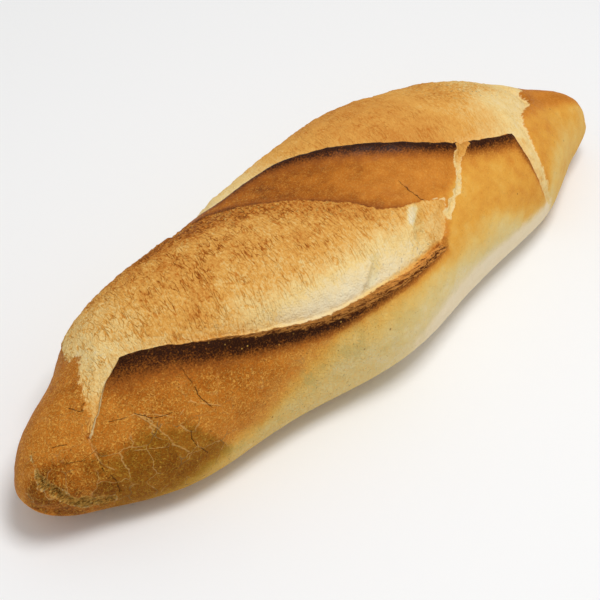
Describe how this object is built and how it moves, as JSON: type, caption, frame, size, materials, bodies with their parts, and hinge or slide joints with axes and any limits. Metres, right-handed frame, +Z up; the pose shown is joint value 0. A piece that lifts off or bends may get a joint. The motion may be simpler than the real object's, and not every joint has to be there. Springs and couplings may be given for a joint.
{
  "type": "wood-fired loaf",
  "caption": "Long hand-shaped loaf of bread with a browned crust, torn open along slanting slashes on top, lying on its flat sole.",
  "frame": {"origin": "centre of the loaf's box at the level of its flat sole", "axes": "+X along the loaf, from its fuller end to its knobbed end; -Y is the front, below the near slash; +Z up"},
  "size_m": [0.362, 0.1224, 0.0781],
  "materials": {
    "crust": "matte"
  },
  "bodies": {
    "root": {"loaf": "crust"}
  },
  "joints": []
}
